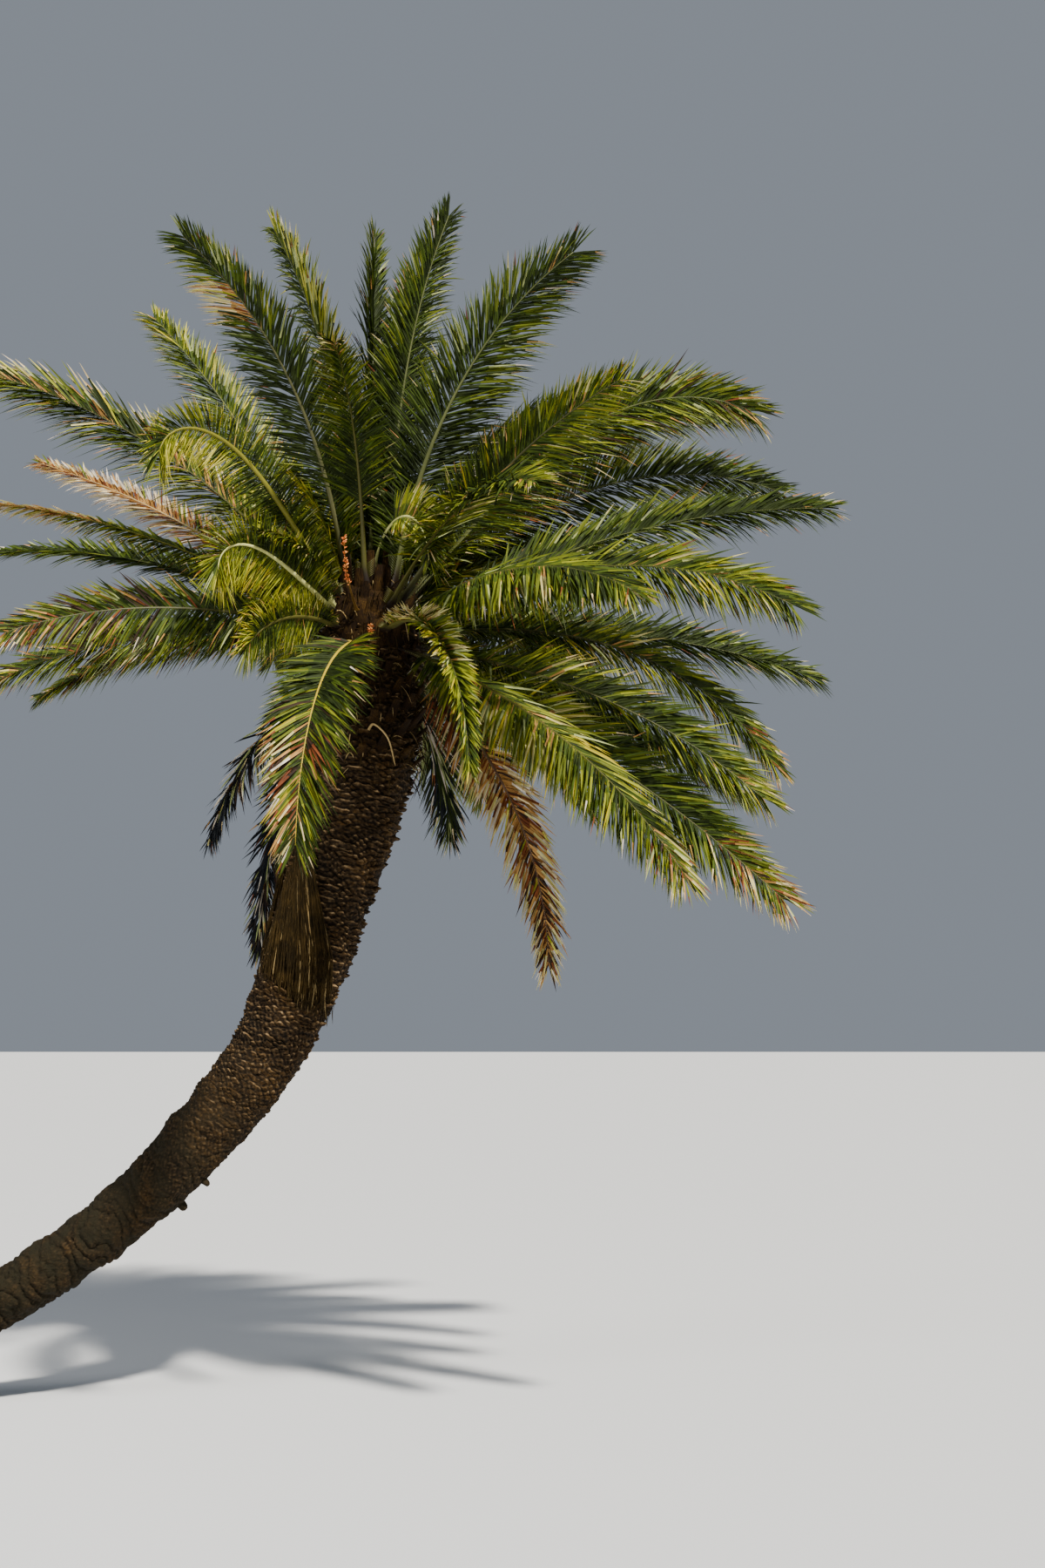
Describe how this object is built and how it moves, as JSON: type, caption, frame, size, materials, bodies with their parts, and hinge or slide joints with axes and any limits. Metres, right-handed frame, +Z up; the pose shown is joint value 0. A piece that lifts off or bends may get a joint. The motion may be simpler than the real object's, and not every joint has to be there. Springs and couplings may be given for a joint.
{
  "type": "date palm tree",
  "caption": "Tall feather-leaved palm tree on a trunk that curves up from a low lean, with a full round crown of arching fronds and a few dead ones hanging below it.",
  "frame": {"origin": "in the flat cut under the trunk, at ground level", "axes": "+Z up, +X the way the trunk leans, -Y towards the viewer of the picture"},
  "size_m": [10.4457, 6.7759, 11.1647],
  "materials": {
    "bark": "rough dark brown trunk with leaf scars and fibre",
    "frond_green": "deep green leaflets, slightly waxy",
    "frond_olive": "olive green leaflets, slightly waxy",
    "frond_bright": "sunlit yellow green leaflets",
    "frond_dry": "dry tan leaflets",
    "frond_dead": "dead brown leaflets",
    "fruit_stalk": "orange flat fruit stalk"
  },
  "bodies": {
    "root": {"trunk": "bark", "frond_right_1": "frond_green", "frond_right_2": "frond_green", "frond_right_3": "frond_green", "frond_right_4": "frond_olive", "frond_right_5": "frond_green", "frond_right_6": "frond_olive", "frond_right_7": "frond_green", "frond_right_8": "frond_olive", "frond_right_9": "frond_green", "frond_right_10": "frond_olive", "frond_right_11": "frond_bright", "frond_right_12": "frond_bright", "frond_right_13": "frond_bright", "frond_right_14": "frond_olive", "frond_right_15": "frond_olive", "frond_dead_1": "frond_dead", "frond_dead_2": "frond_dead", "frond_top_1": "frond_green", "frond_top_2": "frond_green", "frond_top_3": "frond_green", "frond_top_4": "frond_green", "frond_top_5": "frond_green", "frond_top_6": "frond_olive", "frond_top_7": "frond_green", "frond_top_8": "frond_bright", "frond_left_1": "frond_olive", "frond_left_2": "frond_bright", "frond_left_3": "frond_dry", "frond_left_4": "frond_olive", "frond_left_5": "frond_green", "frond_left_6": "frond_bright", "frond_left_7": "frond_olive", "frond_left_8": "frond_olive", "frond_left_9": "frond_olive", "frond_left_10": "frond_bright", "frond_front_1": "frond_bright", "frond_dead_3": "frond_dead", "frond_dead_4": "frond_dead", "frond_heart_1": "frond_bright", "fruit_stalk_1": "fruit_stalk", "fruit_stalk_2": "fruit_stalk", "frond_back_1": "frond_olive", "frond_back_2": "frond_green", "frond_back_3": "frond_green", "frond_back_4": "frond_olive", "frond_back_5": "frond_green", "frond_back_6": "frond_green", "frond_back_7": "frond_olive", "frond_back_8": "frond_green", "frond_back_9": "frond_green", "frond_back_10": "frond_olive", "frond_back_11": "frond_green", "frond_back_12": "frond_green", "frond_back_13": "frond_olive", "frond_back_14": "frond_green", "frond_back_15": "frond_green", "frond_back_16": "frond_olive"}
  },
  "joints": []
}
